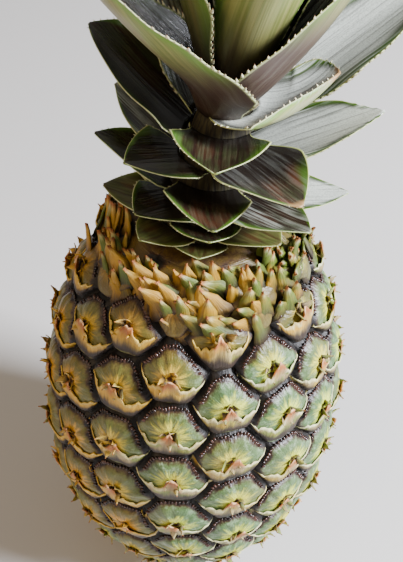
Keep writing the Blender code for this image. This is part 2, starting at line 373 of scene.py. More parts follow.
@dataclass(frozen=True)
class BractFinish:
    """Dry papery bract: pale rim, pinkish tan face, burnt orange point, painted shade at its foot."""

    shoulder_green: str = "#566619"
    shoulder_ochre: str = "#ab8012"
    face: str = "#a59060"
    face_green: str = "#7d8a34"
    face_ripe: str = "#c89a22"
    rim: str = "#d3d2a0"
    rim_ripe: str = "#d0aa3c"
    tip: str = "#a5622c"
    tip_end: str = "#dcb489"
    # Painted shade at the foot, where the bract meets the skin
    base: str = "#2a1a0e"
    crease_count: float = 13.0
    blotch_mm: float = 5.0

    def build(self) -> bpy.types.Material:
        """Make the bract's material from its own place and its eye's tone.

        Returns:
            The material.
        """
        # Dry paper: matt and creased, its pale rim frames every eye, its burnt point stands out, and painted
        # shade darkens its foot
        material, tree, shader = new_material("papery_bract")
        across, up, tip = read(tree, "bract_place")
        chance, ripe, shoulder = read(tree, "eye_tone")
        lines = Shade.JOIN.on(tree, Shade.TIMES.on(tree, across, self.crease_count),
                              Shade.TIMES.on(tree, up, 1.3), Shade.TIMES.on(tree, chance, 23.0))
        crease = Shade.NOISE.on(tree, lines, 1.0, 5.0, 0.65)
        blotch = Shade.NOISE.on(tree, Shade.HERE.on(tree), 1.0 / (self.blotch_mm * MM), 2.0, 0.5)
        greener = Shade.EASE.on(tree, blotch, 0.42, 0.62)
        face = Shade.MIX.on(tree, greener, srgb(self.face), srgb(self.face_green))
        mellow = Shade.TIMES_PLUS.on(tree, Shade.LESS.on(tree, blotch, 0.5), 1.3, ripe)
        mellow = Shade.TIMES_PLUS.on(tree, Shade.LESS.on(tree, chance, 0.5), 0.5, mellow)
        face = Shade.MIX.on(tree, Shade.EASE.on(tree, mellow, 0.20, 0.85), face, srgb(self.face_ripe))
        golden = Shade.EASE.on(tree, mellow, 0.0, 0.8)
        flap = Shade.MIX.on(tree, golden, srgb(self.shoulder_green), srgb(self.shoulder_ochre))
        face = Shade.MIX.on(tree, shoulder, face, flap)
        rim = Shade.MIX.on(tree, ripe, srgb(self.rim), srgb(self.rim_ripe))
        edge = Shade.TIMES_PLUS.on(tree, crease, 0.25, up)
        colour = Shade.MIX.on(tree, Shade.EASE.on(tree, edge, 0.84, 1.04), face, rim)
        # Painted shade: the bract darkens toward its foot
        colour = Shade.MIX.on(tree, Shade.EASE.on(tree, edge, 0.84, 0.36), colour, srgb(self.base))
        burnt = Shade.TIMES_PLUS.on(tree, crease, 0.5, tip)
        colour = Shade.MIX.on(tree, Shade.EASE.on(tree, burnt, 0.50, 0.95), colour, srgb(self.tip))
        colour = Shade.MIX.on(tree, Shade.EASE.on(tree, burnt, 1.0, 1.3), colour, srgb(self.tip_end))
        colour = Shade.TINT.on(tree, 1.0, colour, Shade.SPREAD.on(tree, crease, 0.3, 0.7, 0.72, 1.18))
        tree.links.new(colour, shader.inputs["Base Color"])
        shader.inputs["Roughness"].default_value = 0.55
        bump = add_node(tree, "ShaderNodeBump", {"Strength": 0.8, "Distance": 0.5 * MM, "Height": crease})
        tree.links.new(bump.outputs[0], shader.inputs["Normal"])
        return material


@dataclass(frozen=True)
class LeafFinish:
    """Bromeliad leaf: parallel veins, silver scurf in stripes with a painted sheen on the silvery leaves,
    green margins, a thin pale edge, painted shade at the foot.
    """

    name: str
    middle: str
    between_veins: str
    margin: str
    edge: str
    scurf_and_sheen_colour: str
    scurf_and_sheen_most: float
    roughness: float
    # Painted shade where the foot of the leaf crowds the stem
    foot: str = "#8c8a56"
    dry: str = "#9c7a50"
    dry_end: str = "#4c3422"
    warm: str = "#6b3f26"
    vein_mm: float = 1.1
    speck_mm: float = 0.5

    def build(self) -> bpy.types.Material:
        """Make one side's material from the leaf's own place and tone.

        Returns:
            The material.
        """
        # Waxy cuticle with scurf: light runs along the veins, and the powder turns dark green silver; on the
        # silvery leaves a pale coat over nearly the whole blade is painted sheen
        material, tree, shader = new_material(self.name)
        across, along, half = read(tree, "leaf_place")
        dry, scurf_and_sheen, warm = read(tree, "leaf_tone")
        out = Shade.UNSIGNED.on(tree, across)
        sideways = Shade.TIMES.on(tree, across, half)
        veins_at = Shade.JOIN.on(tree, Shade.OVER.on(tree, sideways, self.vein_mm),
                                 Shade.TIMES.on(tree, along, 1.2), Shade.TIMES.on(tree, scurf_and_sheen, 9.0))
        vein = Shade.NOISE.on(tree, veins_at, 1.0, 2.0, 0.55)
        band_at = Shade.JOIN.on(tree, Shade.OVER.on(tree, sideways, 5.0 * self.vein_mm),
                                Shade.TIMES.on(tree, along, 2.2), Shade.TIMES.on(tree, warm, 7.0))
        band = Shade.NOISE.on(tree, band_at, 1.0, 2.0, 0.5)
        speck = Shade.NOISE.on(tree, Shade.HERE.on(tree), 1.0 / (self.speck_mm * MM), 2.0, 0.6)

        veined = Shade.EASE.on(tree, vein, 0.35, 0.65)
        colour = Shade.MIX.on(tree, veined, srgb(self.middle), srgb(self.between_veins))
        reddish = Shade.TIMES.on(tree, Shade.EASE.on(tree, band, 0.4, 0.65), warm)
        colour = Shade.MIX.on(tree, reddish, colour, srgb(self.warm))
        outer = Shade.EASE.on(tree, Shade.TIMES_PLUS.on(tree, band, 0.35, out), 0.86, 1.12)
        colour = Shade.MIX.on(tree, outer, colour, srgb(self.margin))
        # Painted shade: the foot of each leaf goes dark where it crowds the stem, further up on warm leaves
        foot_shade_reach = Shade.TIMES_PLUS.on(tree, warm, -0.45, Shade.TIMES_PLUS.on(tree, band, 0.25, along))
        colour = Shade.MIX.on(tree, Shade.EASE.on(tree, foot_shade_reach, 0.45, 0.05), colour, srgb(self.foot))
        # Scurf lies in stripes between the veins; the pale coat over nearly the whole of the silvery leaves
        # is scurf with a painted sheen
        in_bands = Shade.EASE.on(tree, band, 0.30, 0.60)
        powder_and_sheen = Shade.TIMES.on(tree, Shade.EASE.on(tree, vein, 0.40, 0.62), in_bands)
        powder_and_sheen = Shade.TIMES.on(tree, powder_and_sheen, Shade.POWER.on(tree, scurf_and_sheen, 1.6))
        off_veins = Shade.EASE.on(tree, vein, 0.28, 0.50, 0.45, 1.0)
        scurf_and_sheen_cover = Shade.TIMES.on(tree, Shade.EASE.on(tree, scurf_and_sheen, 0.55, 0.95), off_veins)
        off_margin = Shade.EASE.on(tree, Shade.TIMES_PLUS.on(tree, band, 0.3, out), 1.02, 0.72)
        powder_and_sheen = Shade.LARGER.on(tree, powder_and_sheen, Shade.TIMES.on(tree, scurf_and_sheen_cover, off_margin))
        powder_and_sheen = Shade.TIMES.on(tree, powder_and_sheen, Shade.EASE.on(tree, speck, 0.30, 0.60, 0.7, 1.0))
        powder_and_sheen = Shade.TIMES.on(tree, powder_and_sheen, self.scurf_and_sheen_most)
        colour = Shade.MIX.on(tree, powder_and_sheen, colour, srgb(self.scurf_and_sheen_colour))
        colour = Shade.MIX.on(tree, Shade.EASE.on(tree, out, 0.955, 0.995), colour, srgb(self.edge))
        withered = Shade.TIMES_PLUS.on(tree, band, 0.10, along)
        withered = Shade.TIMES_PLUS.on(tree, dry, 0.25, withered)
        colour = Shade.MIX.on(tree, Shade.EASE.on(tree, withered, 1.10, 1.18), colour, srgb(self.dry))
        colour = Shade.MIX.on(tree, Shade.EASE.on(tree, withered, 1.22, 1.28), colour, srgb(self.dry_end))
        tree.links.new(colour, shader.inputs["Base Color"])
        shader.inputs["Roughness"].default_value = self.roughness
        height = Shade.TIMES_PLUS.on(tree, speck, 0.15, vein)
        bump = add_node(tree, "ShaderNodeBump", {"Strength": 0.6, "Distance": 0.35 * MM, "Height": height})
        tree.links.new(bump.outputs[0], shader.inputs["Normal"])
        return material


@dataclass(frozen=True)
class ThornFinish:
    """Horny marginal spine: green foot, cream shaft, rust point."""

    foot: str = "#8f9a56"
    shaft: str = "#d9d3ae"
    point: str = "#8a4a26"

    def build(self) -> bpy.types.Material:
        """Make the spine's material from its height along itself.

        Returns:
            The material.
        """
        # Smooth horn: pale shafts with a sharp small light, so the margins read as fine saw teeth
        material, tree, shader = new_material("horny_leaf_spine")
        rise = read(tree, "thorn_place")[2]
        colour = Shade.MIX.on(tree, Shade.EASE.on(tree, rise, 0.0, 0.35), srgb(self.foot), srgb(self.shaft))
        colour = Shade.MIX.on(tree, Shade.EASE.on(tree, rise, 0.70, 1.0), colour, srgb(self.point))
        tree.links.new(colour, shader.inputs["Base Color"])
        shader.inputs["Roughness"].default_value = 0.4
        return material


@dataclass(frozen=True)
class CreaseBeadFinish:
    """Glossy dark beads that line the creases: lacquer-like dried rind tissue."""

    dark: str = "#1b0d09"
    light: str = "#4a3028"
    blotch_mm: float = 3.0

    def build(self) -> bpy.types.Material:
        """Make the beads' material.

        Returns:
            The material.
        """
        # Dried lacquer: tiny glints on near black, which make the creases look deep and alive
        material, tree, shader = new_material("lacquered_crease_bead")
        blotch = Shade.NOISE.on(tree, Shade.HERE.on(tree), 1.0 / (self.blotch_mm * MM), 2.0, 0.5)
        colour = Shade.MIX.on(tree, Shade.EASE.on(tree, blotch, 0.4, 0.6), srgb(self.dark), srgb(self.light))
        tree.links.new(colour, shader.inputs["Base Color"])
        shader.inputs["Roughness"].default_value = 0.14
        return material


@dataclass(frozen=True)
class StemFinish:
    """Crown stem: fibrous olive tissue, streaked by the bases of the leaves that clasp it, in dark painted
    shade.
    """

    # Both tones are painted shade between the leaf bases
    light: str = "#3f3a22"
    dark: str = "#17110b"
    fibre_mm: float = 1.25
    fibre_length_mm: float = 100.0 / 7.0

    def build(self) -> bpy.types.Material:
        """Make the stem's material.

        Returns:
            The material.
        """
        # Raw fibre: matt and streaked upward, painted dark as shade, so the gaps between leaf bases read as
        # depth
        material, tree, shader = new_material("fibrous_crown_stem")
        fine = 1.0 / (self.fibre_mm * MM)
        scales = (fine, fine, 1.0 / (self.fibre_length_mm * MM))
        streaks = add_node(tree, "ShaderNodeMapping", {0: Shade.HERE.on(tree), "Scale": scales}).outputs[0]
        fibre = Shade.NOISE.on(tree, streaks, 1.0, 3.0, 0.6)
        colour = Shade.MIX.on(tree, Shade.EASE.on(tree, fibre, 0.35, 0.65), srgb(self.dark), srgb(self.light))
        tree.links.new(colour, shader.inputs["Base Color"])
        shader.inputs["Roughness"].default_value = 0.7
        bump = add_node(tree, "ShaderNodeBump", {"Strength": 0.8, "Distance": 0.6 * MM, "Height": fibre})
        tree.links.new(bump.outputs[0], shader.inputs["Normal"])
        return material


# ---------------------------------------------------------------------------------------------
# Repeats made by Geometry Nodes
# ---------------------------------------------------------------------------------------------
class RepeatOn(Enum):
    """What a repeat follows."""

    POINTS = "points"
    MARGINS = "margins"


class Repeater:
    """A Geometry Nodes tree that sets a model along leaf margins or on points, then makes it plain mesh."""

    INPUTS = (("Spacing", "NodeSocketFloat", 2.0 * MM), ("Model", "NodeSocketObject", None),
              ("Smallest", "NodeSocketFloat", 0.8), ("Largest", "NodeSocketFloat", 1.2),
              ("Seed", "NodeSocketInt", 0), ("Finish", "NodeSocketMaterial", None))

    def __init__(self, name: str, on: RepeatOn) -> None:
        """Build the tree.

        Args:
            name: name of the tree.
            on: what the repeats follow.
        """
        self.tree = bpy.data.node_groups.new(name, "GeometryNodeTree")
        face = self.tree.interface
        face.new_socket("Geometry", in_out="INPUT", socket_type="NodeSocketGeometry")
        self.keys: Dict[str, str] = {}
        for label, kind, value in self.INPUTS:
            socket = face.new_socket(label, in_out="INPUT", socket_type=kind)
            if value is not None:
                socket.default_value = value
            self.keys[label] = socket.identifier
        face.new_socket("Geometry", in_out="OUTPUT", socket_type="NodeSocketGeometry")
        self.fill(on)

    def fill(self, on: RepeatOn) -> None:
        """Lay out the nodes for one kind of repeat.

        Args:
            on: what the repeats follow.
        """
        tree = self.tree
        given = add_node(tree, "NodeGroupInput").outputs
        points = given["Geometry"]
        facing = add_node(tree, "GeometryNodeInputNamedAttribute", {"Name": "facing"},
                          data_type="FLOAT_VECTOR").outputs["Attribute"]
        if on is RepeatOn.MARGINS:
            curve = add_node(tree, "GeometryNodeMeshToCurve", {"Mesh": points}).outputs[0]
            points = add_node(tree, "GeometryNodeResampleCurve", {"Curve": curve, "Length": given["Spacing"]},
                              mode="LENGTH").outputs[0]
            tangent = add_node(tree, "GeometryNodeInputTangent").outputs[0]
            turn = add_node(tree, "FunctionNodeAxesToRotation", {0: facing, 1: tangent},
                            primary_axis="Z", secondary_axis="X").outputs[0]
        else:
            turn = add_node(tree, "FunctionNodeEulerToRotation", {0: facing}).outputs[0]
        stretch = add_node(tree, "GeometryNodeInputNamedAttribute", {"Name": "stretch"},
                           data_type="FLOAT_VECTOR").outputs["Attribute"]
        limits = {2: given["Smallest"], 3: given["Largest"], "Seed": given["Seed"]}
        chance = add_node(tree, "FunctionNodeRandomValue", limits, data_type="FLOAT").outputs[1]
        size = add_node(tree, "ShaderNodeVectorMath", {0: stretch, "Scale": chance},
                        operation="SCALE").outputs[0]
        model = add_node(tree, "GeometryNodeObjectInfo", {"Object": given["Model"], "As Instance": True})
        setting = {"Points": points, "Instance": model.outputs["Geometry"], "Rotation": turn, "Scale": size}
        placed = add_node(tree, "GeometryNodeInstanceOnPoints", setting).outputs[0]
        real = add_node(tree, "GeometryNodeRealizeInstances", {0: placed}).outputs[0]
        done = add_node(tree, "GeometryNodeSetMaterial", {"Geometry": real, "Material": given["Finish"]})
        add_node(tree, "NodeGroupOutput", {0: done.outputs[0]})

    def run(self, name: str, seeds: bpy.types.Mesh, model: bpy.types.Object, finish: bpy.types.Material,
            **sizes: Any) -> bpy.types.Object:
        """Make the repeats as one plain mesh.

        Args:
            name: name of the piece.
            seeds: points or margin lines that carry facing and stretch.
            model: what is repeated.
            finish: its material.
            sizes: values for the tree's other named inputs.

        Returns:
            The finished object, without modifiers.
        """
        obj = stand(name, seeds)
        modifier = obj.modifiers.new("Repeats", "NODES")
        modifier.node_group = self.tree
        modifier[self.keys["Model"]] = model
        modifier[self.keys["Finish"]] = finish
        for label, value in sizes.items():
            modifier[self.keys[label]] = value
        bake_modifiers(obj)
        obj.data.shade_smooth()
        return obj


# ---------------------------------------------------------------------------------------------
# Fruit
# ---------------------------------------------------------------------------------------------
@dataclass
class Eye:
    """One eye of the rind: its centre, the directions across and up it, and its size and tone."""

    turn: float
    height: float
    centre: np.ndarray
    across: np.ndarray
    up: np.ndarray
    out: np.ndarray
    half_width: float
    half_height: float
    chance: float


@dataclass
class Fruit:
    """The fruit's body, its eyes and the bracts under them."""

    radius: float = 55.0 * MM
    widest_height: float = 84.0 * MM
    lower_reach: float = 91.4 * MM
    upper_reach: float = 100.1 * MM
    lower_fullness: float = 2.12
    upper_fullness: float = 2.20
    neck_height: float = 172.4 * MM
    seat_height: float = 176.0 * MM
    seat_radius: float = 17.0 * MM
    rest_radius: float = 20.5 * MM
    eyes_per_ring: int = 8
    first_ring_height: float = 145.8 * MM
    ring_spacing: float = 12.42 * MM
    tightening_below: float = 0.20
    tightening_above: float = 0.31
    rings_above: int = 2
    rings_below: int = 12
    ring_twist: float = math.radians(1.2)
    column_start: float = math.radians(-9.3)
    eye_wander: float = 1.3 * MM
    dome: float = 2.5 * MM
    bract_bottom: float = 7.0 * MM
    bract_paper: float = 0.45 * MM
    bead_limits: Tuple[float, float] = (12.0 * MM, 160.0 * MM)
    bead_radius: float = 0.65 * MM
    flower_limits: Tuple[float, float] = (14.0 * MM, 158.0 * MM)
    far_apart: float = 45.0 * MM
    crease_softness: float = 0.5 * MM
    steps_round: int = 380
    rows_up: int = 250
    eyes: List[Eye] = field(default_factory=list)

    def mean_radius(self, height: Any) -> Any:
        """Mean radius of the fruit, without its relief.

        Args:
            height: a height, or an array of heights.

        Returns:
            The radius at each height, none above the top.
        """
        height = np.asarray(height, dtype=float)
        low = np.clip((self.widest_height - height) / self.lower_reach, 0.0, 1.0) ** self.lower_fullness
        high = np.clip((height - self.widest_height) / self.upper_reach, 0.0, 1.0) ** self.upper_fullness
        return self.radius * np.sqrt(np.maximum(0.0, 1.0 - low - high))

    def spacing(self, height: float) -> float:
        """Axial distance between rings of eyes, closest near both ends.

        Args:
            height: where on the fruit.

        Returns:
            The distance.
        """
        below = max(0.0, (self.widest_height - height) / self.lower_reach)
        above = max(0.0, (height - self.widest_height) / self.upper_reach)
        tightening = 1.0 - self.tightening_below * below ** 2 - self.tightening_above * above ** 2
        return self.ring_spacing * tightening

    def ring_heights(self) -> List[Tuple[int, float]]:
        """Work out where the rings of eyes sit.

        Returns:
            Each ring as (order, height), from the top down.
        """
        rings = []
        height = self.first_ring_height
        for ring in range(self.rings_below + 1):
            rings.append((ring, height))
            height -= self.spacing(height)
        height = self.first_ring_height
        for ring in range(-1, -self.rings_above - 1, -1):
            height += self.spacing(height)
            rings.insert(0, (ring, height))
        return rings

    def grow_eyes(self) -> None:
        """Place every eye with its small grown irregularity."""
        chance = random.Random(7)
        for ring, height in self.ring_heights():
            radius = float(self.mean_radius(height))
            for column in range(self.eyes_per_ring):
                turn = self.column_start + (column + 0.5 * (ring % 2)) * TAU / self.eyes_per_ring
                turn += ring * self.ring_twist
                turn += chance.uniform(-1.0, 1.0) * self.eye_wander / max(radius, 1.9 * MM)
                place = height + chance.uniform(-1.0, 1.0) * self.eye_wander
                self.eyes.append(self.make_eye(turn, place, ring))

    def make_eye(self, turn: float, height: float, ring: int) -> Eye:
        """Work out an eye's directions and size from where it sits.

        Args:
            turn: its turn from -Y toward +X.
            height: its height.
            ring: its ring's order.

        Returns:
            The eye.
        """
        radius = float(self.mean_radius(height))
        slope = float(self.mean_radius(height + 0.5 * MM) - self.mean_radius(height - 0.5 * MM)) / MM
        out_flat = np.array([math.sin(turn), -math.cos(turn), 0.0])
        across = np.array([math.cos(turn), math.sin(turn), 0.0])
        up = out_flat * slope + np.array([0.0, 0.0, 1.0])
        length = float(np.linalg.norm(up))
        up = up / length
        out = np.cross(across, up)
        half_height = self.spacing(height) * min(length, 1.6)
        half_width = 0.66 * TAU * radius / (2.0 * self.eyes_per_ring)
        luck = random.Random(int(turn * 1000.0) + 977 * ring)
        centre = out_flat * radius + np.array([0.0, 0.0, height])
        return Eye(turn, height, centre, across, up, out, half_width, half_height, luck.random())

    def ripeness(self, points: np.ndarray) -> np.ndarray:
        """How far the skin has turned yellow: most on the left, under the crown, and in drifting patches.

        Args:
            points: places on the skin, one per row.

        Returns:
            0 for green to 1 for yellow, for each point.
        """
        turn = np.arctan2(points[:, 0], -points[:, 1])
        height = points[:, 2]
        side = ease(-turn, math.radians(-22.0), math.radians(42.0)) * ease(turn, -3.1, -2.3)
        back = 0.30 * (1.0 - ease(np.abs(turn), 1.9, 2.7)) + 0.30
        side = np.where(np.abs(turn) > 2.0, np.maximum(side, back), side)
        right = ease(turn, 0.45, 0.85) * ease(-turn, -2.4, -1.9)
        crown = ease(height, 140.0 * MM, 158.0 * MM) * (1.0 - 0.75 * right)
        drift = 0.05 + 0.18 * np.sin(5.0 * turn + 60.0 * height) + 0.12 * np.sin(9.0 * turn - 110.0 * height)
        low = 0.35 * ease(-height, -70.0 * MM, -10.0 * MM) * side
        return np.clip(np.maximum(0.90 * side - low, crown) + drift, 0.0, 1.0)

    def skin(self, turn: np.ndarray, height: np.ndarray, base: np.ndarray) -> Dict[str, np.ndarray]:
        """Relief of the rind and each point's place in its eye.

        Args:
            turn: turn of each point from -Y toward +X.
            height: height of each point.
            base: mean radius at each point.

        Returns:
            relief in metres, place (across, up, distance to the crease in mm), the eye's order and the
            points on the mean skin.
        """
        points = np.stack([base * np.sin(turn), -base * np.cos(turn), height], axis=1)
        centres = np.array([eye.centre for eye in self.eyes])
        reach = np.linalg.norm(points[:, None, :] - centres[None], axis=2)
        order = np.argmin(reach, axis=1)
        nearest = reach[np.arange(len(points)), order]
        apart = np.linalg.norm(centres[order][:, None, :] - centres[None], axis=2)
        apart[apart < MM] = 1.0
        gap = (reach ** 2 - nearest[:, None] ** 2) / (2.0 * apart)
        gap[np.arange(len(points)), order] = 1.0
        gap[apart > self.far_apart] = 1.0
        soft = self.crease_softness
        edge = np.maximum(-soft * np.log(np.exp(-np.minimum(gap, 30.0 * MM) / soft).sum(axis=1)), 0.0)
        eye_across = np.array([eye.across for eye in self.eyes])[order]
        eye_up = np.array([eye.up for eye in self.eyes])[order]
        half_width = np.array([eye.half_width for eye in self.eyes])[order]
        half_height = np.array([eye.half_height for eye in self.eyes])[order]
        luck = np.array([eye.chance for eye in self.eyes])[order]
        away = points - centres[order]
        x = (away * eye_across).sum(axis=1)
        y = (away * eye_up).sum(axis=1)
        share = nearest / (nearest + edge + 0.1 * MM)
        size = np.clip(half_height / (12.4 * MM), 0.55, 1.05)
        upward = ease(y / (0.55 * np.abs(x) + np.abs(y) + 0.1 * MM), -0.2, 0.7)
        dome = self.dome * size * (1.0 - share ** 2.4)
        crease_width = (0.75 + 1.75 * upward) * MM
        crease = (1.3 + 2.3 * upward) * MM * np.exp(-(edge / crease_width) ** 2)
        angle = np.arctan2(y, x)
        fold = np.sin(angle * 3.0 + 1.2) * 0.30 + np.sin(angle * 7.0 + luck * 40.0) * 0.22
        fold += np.sin(angle * 13.0 + luck * 90.0) * 0.16
        fold = fold * MM * np.clip(4.0 * share * (1.0 - share), 0.0, 1.0)
        pit = 1.0 * MM * np.exp(-(nearest / (1.3 * MM)) ** 2)
        quiet = ease(height, 2.0 * MM, 10.0 * MM)
        quiet = quiet * ease(-height, -(self.neck_height + 2.0 * MM), -(self.neck_height - 7.0 * MM))
        relief = (dome - crease + fold - pit) * quiet
        place = np.stack([x / half_width, y / half_height, edge / MM], axis=1)
        return {"relief": relief, "place": place, "order": order, "points": points}

    def surface(self, turn: np.ndarray, height: np.ndarray, lift: np.ndarray) -> np.ndarray:
        """Points on the finished skin, lifted off it along its radius.

        Args:
            turn: turn of each point from -Y toward +X.
            height: height of each point.
            lift: distance off the skin of each point.

        Returns:
            The points, one per row.
        """
        base = self.mean_radius(height)
        skin = self.skin(turn, height, base)
        radius = base + skin["relief"] + lift
        return np.stack([radius * np.sin(turn), -radius * np.cos(turn), height], axis=1)

    def tones(self, points: np.ndarray, order: np.ndarray) -> np.ndarray:
        """Chance, ripeness and shoulder share for points of given eyes.

        Args:
            points: the points, one per row.
            order: the order of each point's eye.

        Returns:
            A row of the three values for each point.
        """
        luck = np.array([eye.chance for eye in self.eyes])[order]
        ripe = self.ripeness(points) + 0.25 * (luck - 0.5)
        shoulder = ease(points[:, 2], 148.0 * MM, 165.0 * MM)
        return np.stack([luck, np.clip(ripe, 0.0, 1.0), shoulder], axis=1)

    def build_rind(self, finish: bpy.types.Material) -> bpy.types.Object:
        """The whole rind as one closed skin, with its flat resting spot and the crown's seat.

        Args:
            finish: the rind's material.

        Returns:
            The rind.
        """
        heights = np.linspace(0.0, 1.0, self.rows_up)
        fine = np.linspace(1.5 * MM, self.neck_height, 2000)
        arc = np.concatenate([[0.0], np.cumsum(np.hypot(np.diff(fine), np.diff(self.mean_radius(fine))))])
        heights = np.interp(heights * arc[-1], arc, fine)
        turns = np.linspace(0.0, TAU, self.steps_round, endpoint=False)
        turn, height = np.meshgrid(turns, heights)
        base = self.mean_radius(height)
        rows = []
        places = []
        orders = []
        for row in range(len(heights)):
            skin = self.skin(turn[row], height[row], base[row])
            radius = base[row] + skin["relief"]
            ring = [radius * np.sin(turn[row]), -radius * np.cos(turn[row]), height[row]]
            rows.append(np.stack(ring, axis=1))
            places.append(skin["place"])
            orders.append(skin["order"])
        caps_low = [(self.rest_radius * share, 0.0) for share in (0.02, 0.35, 0.7, 0.9, 1.0)]
        caps_high = [(self.mean_radius(self.neck_height) - 4.0 * MM, self.neck_height + 2.4 * MM),
                     (self.seat_radius, self.seat_height), (self.seat_radius * 0.5, self.seat_height),
                     (0.02 * self.seat_radius, self.seat_height)]
        # Both caps take the look of plain skin between the crease and the eye
        for radius, level in reversed(caps_low):
            rows.insert(0, self.ring(radius, level, turns))
            places.insert(0, places[0] * 0.0 + np.array([0.9, 0.0, 2.4]))
            orders.insert(0, orders[0])
        for radius, level in caps_high:
            rows.append(self.ring(radius, level, turns))
            places.append(places[-1] * 0.0 + np.array([0.9, 0.0, 2.0]))
            orders.append(orders[-1])
        points = np.array(rows)
        mesh = grid_mesh("rind", points, closed=True)
        flat = points.reshape(-1, 3)
        put(mesh, "eye_place", np.array(places).reshape(-1, 3))
        put(mesh, "eye_tone", self.tones(flat, np.array(orders).reshape(-1)))
        bm = bmesh.new()
        bm.from_mesh(mesh)
        bmesh.ops.holes_fill(bm, edges=[edge for edge in bm.edges if edge.is_boundary], sides=0)
        bmesh.ops.recalc_face_normals(bm, faces=bm.faces)
        bm.to_mesh(mesh)
        bm.free()
        mesh.materials.append(finish)
        return stand("rind", mesh)

    @staticmethod
    def ring(radius: float, level: float, turns: np.ndarray) -> np.ndarray:
        """A level ring of points."""
        return np.stack([radius * np.sin(turns), -radius * np.cos(turns), np.full_like(turns, level)], axis=1)

    @staticmethod
    def flap_share(turn: float) -> float:
        """How far a turn lies in the front stretch where standing flaps take the top bracts' place."""
        return smooth((turn + 0.30) / 0.25) * smooth((1.0 - turn) / 0.25)

    def bract(self, order: int, eye: Eye, uu: np.ndarray, vv: np.ndarray) -> Tuple[np.ndarray, np.ndarray]:
        """Shape one eye's bract.

        Args:
            order: the eye's order.
            eye: the eye.
            uu: each point's place across the bract, -1 to 1.
            vv: each point's place up it, 0 to 1.

        Returns:
            The points on and off the skin, and each one's place in the bract.
        """
        luck = random.Random(5000 + order)
        rise = 0.7 * smooth((eye.height - 128.0 * MM) / (30.0 * MM))
        low = -0.97 * (1.0 - np.abs(uu) ** 3) ** 0.8
        point_width = 0.19 + 0.08 * luck.random() + 0.12 * rise
        lean = luck.uniform(-0.14, 0.14)
        point = np.exp(-(np.abs(uu - lean) / point_width) ** 1.5)
        tip_height = luck.uniform(0.50, 0.76) + 0.25 * rise
        ragged = 0.05 * np.sin(uu * 29.0 + luck.uniform(0.0, 6.0))
        ragged = ragged + 0.06 * np.sin(uu * 13.0 + luck.uniform(0.0, 6.0))
        high = -0.42 + luck.uniform(0.26, 0.44) * np.abs(uu) ** 1.7 + tip_height * point + ragged
        x = uu * 1.02 * eye.half_width
        y = (low + (high - low) * vv) * eye.half_height
        lift = 0.10 + (0.75 + 0.5 * rise) * vv ** 1.6 * (1.0 - 0.8 * np.abs(uu) ** 4)
        lift = (lift + (1.2 + 3.4 * rise) * point * vv ** 2.2 * luck.uniform(0.7, 1.2)) * MM
        spot = eye.centre + x[..., None] * eye.across + y[..., None] * eye.up
        spot = spot.reshape(-1, 3)
        turn = np.arctan2(spot[:, 0], -spot[:, 1])
        height = np.clip(spot[:, 2], 1.0 * MM, self.neck_height)
        points = self.surface(turn, height, lift.reshape(-1))
        return points, np.stack([uu.ravel(), vv.ravel(), (point * vv ** 2).ravel()], axis=1)

    def build_bracts(self, finish: bpy.types.Material) -> bpy.types.Object:
        """A winged papery bract under every eye, its point rising over the withered flower.

        Args:
            finish: the bracts' material.

        Returns:
            All the bracts as one thin closed piece.
        """
        wide, tall = 25, 8
        uu, vv = np.meshgrid(np.linspace(-1.0, 1.0, wide), np.linspace(0.0, 1.0, tall))
        index = np.arange(wide * tall).reshape(tall, wide)
        quads = np.stack([index[:-1, :-1], index[:-1, 1:], index[1:, 1:], index[1:, :-1]], axis=-1)
        quads = quads.reshape(-1, 4)
        all_points: List[np.ndarray] = []
        all_quads: List[np.ndarray] = []
        all_place: List[np.ndarray] = []
        all_tone: List[np.ndarray] = []
        for order, eye in enumerate(self.eyes):
            top = (164.0 - 5.0 * self.flap_share(math.remainder(eye.turn, TAU))) * MM
            if eye.height < self.bract_bottom or eye.height > top:
                continue
            points, place = self.bract(order, eye, uu, vv)
            all_quads.append(quads + wide * tall * len(all_points))
            all_points.append(points)
            all_place.append(place)
            all_tone.append(self.tones(points, np.full(len(points), order)))
        mesh = bpy.data.meshes.new("eye_bracts")
        mesh.from_pydata(np.concatenate(all_points).tolist(), [], np.concatenate(all_quads).tolist())
        mesh.shade_smooth()
        put(mesh, "bract_place", np.concatenate(all_place))
        put(mesh, "eye_tone", np.concatenate(all_tone))
        mesh.materials.append(finish)
        return self.thicken(stand("eye_bracts", mesh), self.bract_paper)

    @staticmethod
    def thicken(obj: bpy.types.Object, thickness: float) -> bpy.types.Object:
        """Turn a sheet into closed paper.

        Args:
            obj: the sheet.
            thickness: the paper's thickness.

        Returns:
            The same object.
        """
        paper = obj.modifiers.new("Paper", "SOLIDIFY")
        paper.thickness = thickness
        paper.offset = -1.0
        return bake_modifiers(obj)

